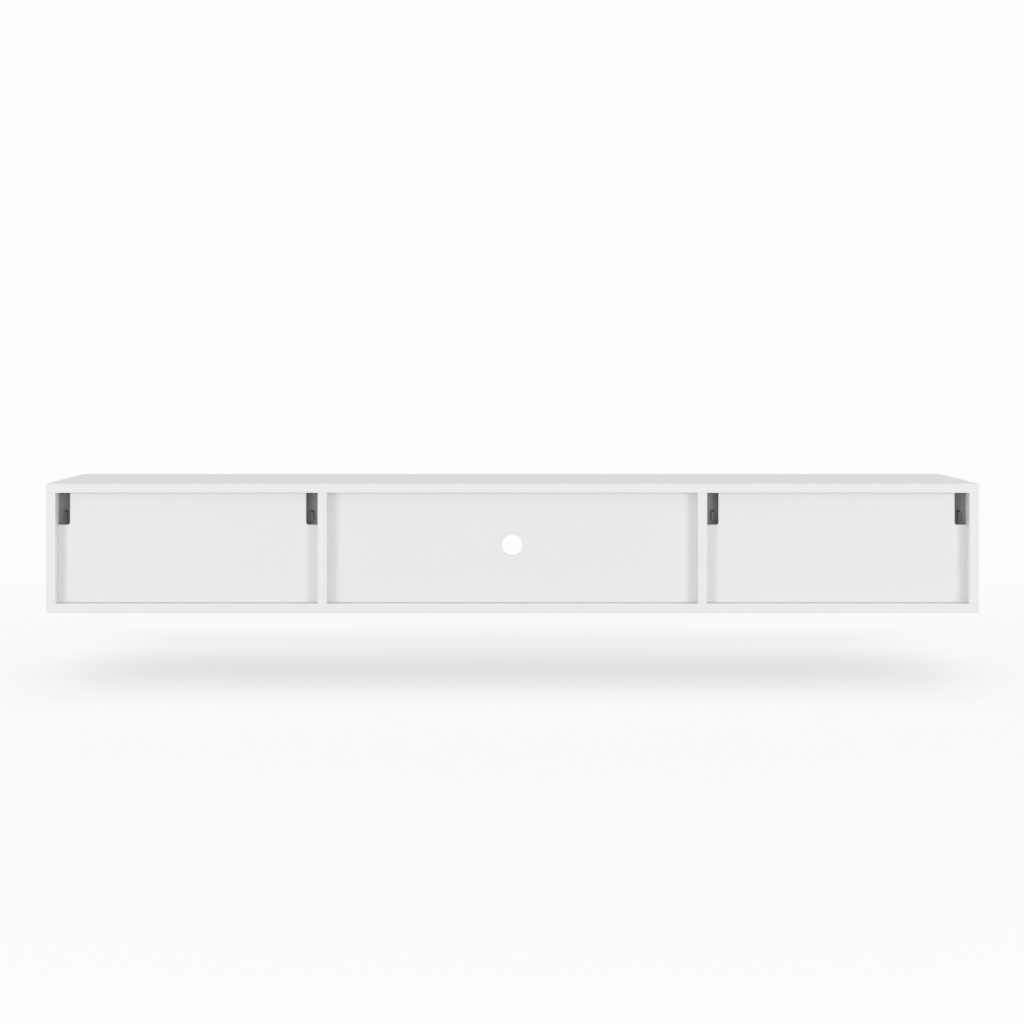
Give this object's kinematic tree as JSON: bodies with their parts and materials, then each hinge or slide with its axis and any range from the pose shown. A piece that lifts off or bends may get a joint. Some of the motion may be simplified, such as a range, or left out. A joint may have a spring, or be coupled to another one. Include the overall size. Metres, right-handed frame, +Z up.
{
  "type": "floating media console",
  "caption": "Wall-hung media console in white board: an open centre niche with a cable hole between two side bays with drop flaps, soft-down stays and wall hangers.",
  "frame": {"origin": "centre of the underside of the bottom panel", "axes": "+X along the console, to the right as seen from its front; -Y is the front with the flaps and +Y faces the wall; +Z up"},
  "size_m": [1.8, 0.4, 0.25],
  "materials": {
    "white_board": "white laminate, satin",
    "white_back": "white thin board, satin",
    "grey_plastic": "moulded dark grey, fine grain",
    "pale_plastic": "moulded pale grey",
    "steel": "zinc plated",
    "dark_steel": "blackened"
  },
  "bodies": {
    "root": {"top_panel": "white_board", "bottom_panel": "white_board", "left_side_panel": "white_board", "right_side_panel": "white_board", "left_divider": "white_board", "right_divider": "white_board", "left_back_panel": "white_back", "centre_back_panel": "white_back", "right_back_panel": "white_back", "left_latch_housing": "pale_plastic", "left_outer_hinge_pin": "steel", "left_outer_stay_housing": "grey_plastic", "left_outer_hanger_housing": "grey_plastic", "left_inner_hinge_pin": "steel", "left_inner_stay_housing": "grey_plastic", "left_inner_hanger_housing": "grey_plastic", "right_latch_housing": "pale_plastic", "right_outer_hinge_pin": "steel", "right_outer_stay_housing": "grey_plastic", "right_outer_hanger_housing": "grey_plastic", "right_inner_hinge_pin": "steel", "right_inner_stay_housing": "grey_plastic", "right_inner_hanger_housing": "grey_plastic"},
    "left_flap": {"left_flap": "white_board", "left_latch_strike": "steel", "left_outer_hinge_bush": "pale_plastic", "left_outer_stay_bracket": "steel", "left_inner_hinge_bush": "pale_plastic", "left_inner_stay_bracket": "steel"},
    "left_latch_plunger": {"left_latch_plunger": "grey_plastic"},
    "left_outer_stay_arm": {"left_outer_stay_arm": "steel"},
    "left_outer_stay_link": {"left_outer_stay_link": "steel"},
    "left_outer_hanger_screw": {"left_outer_hanger_screw": "steel"},
    "left_outer_hanger_hook": {"left_outer_hanger_hook": "dark_steel"},
    "left_inner_stay_arm": {"left_inner_stay_arm": "steel"},
    "left_inner_stay_link": {"left_inner_stay_link": "steel"},
    "left_inner_hanger_screw": {"left_inner_hanger_screw": "steel"},
    "left_inner_hanger_hook": {"left_inner_hanger_hook": "dark_steel"},
    "right_flap": {"right_flap": "white_board", "right_latch_strike": "steel", "right_outer_hinge_bush": "pale_plastic", "right_outer_stay_bracket": "steel", "right_inner_hinge_bush": "pale_plastic", "right_inner_stay_bracket": "steel"},
    "right_latch_plunger": {"right_latch_plunger": "grey_plastic"},
    "right_outer_stay_arm": {"right_outer_stay_arm": "steel"},
    "right_outer_stay_link": {"right_outer_stay_link": "steel"},
    "right_outer_hanger_screw": {"right_outer_hanger_screw": "steel"},
    "right_outer_hanger_hook": {"right_outer_hanger_hook": "dark_steel"},
    "right_inner_stay_arm": {"right_inner_stay_arm": "steel"},
    "right_inner_stay_link": {"right_inner_stay_link": "steel"},
    "right_inner_hanger_screw": {"right_inner_hanger_screw": "steel"},
    "right_inner_hanger_hook": {"right_inner_hanger_hook": "dark_steel"}
  },
  "joints": [
    {"name": "left_flap_hinge", "type": "hinge", "parent": "root", "child": "left_flap", "pos_m": [-0.629, -0.191, 0.0385], "axis": [1, 0, 0], "range_deg": [0, 90]},
    {"name": "left_latch_plunger_slide", "type": "slide", "parent": "root", "child": "left_latch_plunger", "axis": [0, 1, 0], "range_m": [0, 0.003], "stiffness_N_per_m": 300},
    {"name": "left_outer_stay_arm_pivot", "type": "hinge", "parent": "root", "child": "left_outer_stay_arm", "pos_m": [-0.8662, -0.148, 0.0745], "axis": [1, 0, 0], "range_deg": [0, 90]},
    {"name": "left_outer_stay_link_pivot", "type": "hinge", "parent": "left_outer_stay_arm", "child": "left_outer_stay_link", "pos_m": [-0.8629, -0.122, 0.1745], "axis": [1, 0, 0], "range_deg": [-90, 0]},
    {"name": "left_outer_hanger_screw_turn", "type": "hinge", "parent": "root", "child": "left_outer_hanger_screw", "pos_m": [-0.8685, 0.116, 0.2], "axis": [0, 1, 0], "range_deg": [-5760, 0]},
    {"name": "left_outer_hanger_hook_slide", "type": "slide", "parent": "root", "child": "left_outer_hanger_hook", "axis": [0, 1, 0], "range_m": [0, 0.016]},
    {"name": "left_inner_stay_arm_pivot", "type": "hinge", "parent": "root", "child": "left_inner_stay_arm", "pos_m": [-0.3918, -0.148, 0.0745], "axis": [1, 0, 0], "range_deg": [0, 90]},
    {"name": "left_inner_stay_link_pivot", "type": "hinge", "parent": "left_inner_stay_arm", "child": "left_inner_stay_link", "pos_m": [-0.3951, -0.122, 0.1745], "axis": [1, 0, 0], "range_deg": [-90, 0]},
    {"name": "left_inner_hanger_screw_turn", "type": "hinge", "parent": "root", "child": "left_inner_hanger_screw", "pos_m": [-0.3895, 0.116, 0.2], "axis": [0, 1, 0], "range_deg": [-5760, 0]},
    {"name": "left_inner_hanger_hook_slide", "type": "slide", "parent": "root", "child": "left_inner_hanger_hook", "axis": [0, 1, 0], "range_m": [0, 0.016]},
    {"name": "right_flap_hinge", "type": "hinge", "parent": "root", "child": "right_flap", "pos_m": [0.629, -0.191, 0.0385], "axis": [1, 0, 0], "range_deg": [0, 90]},
    {"name": "right_latch_plunger_slide", "type": "slide", "parent": "root", "child": "right_latch_plunger", "axis": [0, 1, 0], "range_m": [0, 0.003], "stiffness_N_per_m": 300},
    {"name": "right_outer_stay_arm_pivot", "type": "hinge", "parent": "root", "child": "right_outer_stay_arm", "pos_m": [0.8662, -0.148, 0.0745], "axis": [1, 0, 0], "range_deg": [0, 90]},
    {"name": "right_outer_stay_link_pivot", "type": "hinge", "parent": "right_outer_stay_arm", "child": "right_outer_stay_link", "pos_m": [0.8629, -0.122, 0.1745], "axis": [1, 0, 0], "range_deg": [-90, 0]},
    {"name": "right_outer_hanger_screw_turn", "type": "hinge", "parent": "root", "child": "right_outer_hanger_screw", "pos_m": [0.8685, 0.116, 0.2], "axis": [0, 1, 0], "range_deg": [-5760, 0]},
    {"name": "right_outer_hanger_hook_slide", "type": "slide", "parent": "root", "child": "right_outer_hanger_hook", "axis": [0, 1, 0], "range_m": [0, 0.016]},
    {"name": "right_inner_stay_arm_pivot", "type": "hinge", "parent": "root", "child": "right_inner_stay_arm", "pos_m": [0.3918, -0.148, 0.0745], "axis": [1, 0, 0], "range_deg": [0, 90]},
    {"name": "right_inner_stay_link_pivot", "type": "hinge", "parent": "right_inner_stay_arm", "child": "right_inner_stay_link", "pos_m": [0.3951, -0.122, 0.1745], "axis": [1, 0, 0], "range_deg": [-90, 0]},
    {"name": "right_inner_hanger_screw_turn", "type": "hinge", "parent": "root", "child": "right_inner_hanger_screw", "pos_m": [0.3895, 0.116, 0.2], "axis": [0, 1, 0], "range_deg": [-5760, 0]},
    {"name": "right_inner_hanger_hook_slide", "type": "slide", "parent": "root", "child": "right_inner_hanger_hook", "axis": [0, 1, 0], "range_m": [0, 0.016]}
  ],
  "couplings": [
    {"joint": "left_outer_stay_arm_pivot", "follows": "left_flap_hinge", "ratio": 1},
    {"joint": "left_outer_stay_link_pivot", "follows": "left_flap_hinge", "ratio": -1},
    {"joint": "left_outer_hanger_screw_turn", "follows": "left_outer_hanger_hook_slide", "rad_per_m": -6283.2},
    {"joint": "left_inner_stay_arm_pivot", "follows": "left_flap_hinge", "ratio": 1},
    {"joint": "left_inner_stay_link_pivot", "follows": "left_flap_hinge", "ratio": -1},
    {"joint": "left_inner_hanger_screw_turn", "follows": "left_inner_hanger_hook_slide", "rad_per_m": -6283.2},
    {"joint": "right_outer_stay_arm_pivot", "follows": "right_flap_hinge", "ratio": 1},
    {"joint": "right_outer_stay_link_pivot", "follows": "right_flap_hinge", "ratio": -1},
    {"joint": "right_outer_hanger_screw_turn", "follows": "right_outer_hanger_hook_slide", "rad_per_m": -6283.2},
    {"joint": "right_inner_stay_arm_pivot", "follows": "right_flap_hinge", "ratio": 1},
    {"joint": "right_inner_stay_link_pivot", "follows": "right_flap_hinge", "ratio": -1},
    {"joint": "right_inner_hanger_screw_turn", "follows": "right_inner_hanger_hook_slide", "rad_per_m": -6283.2}
  ]
}
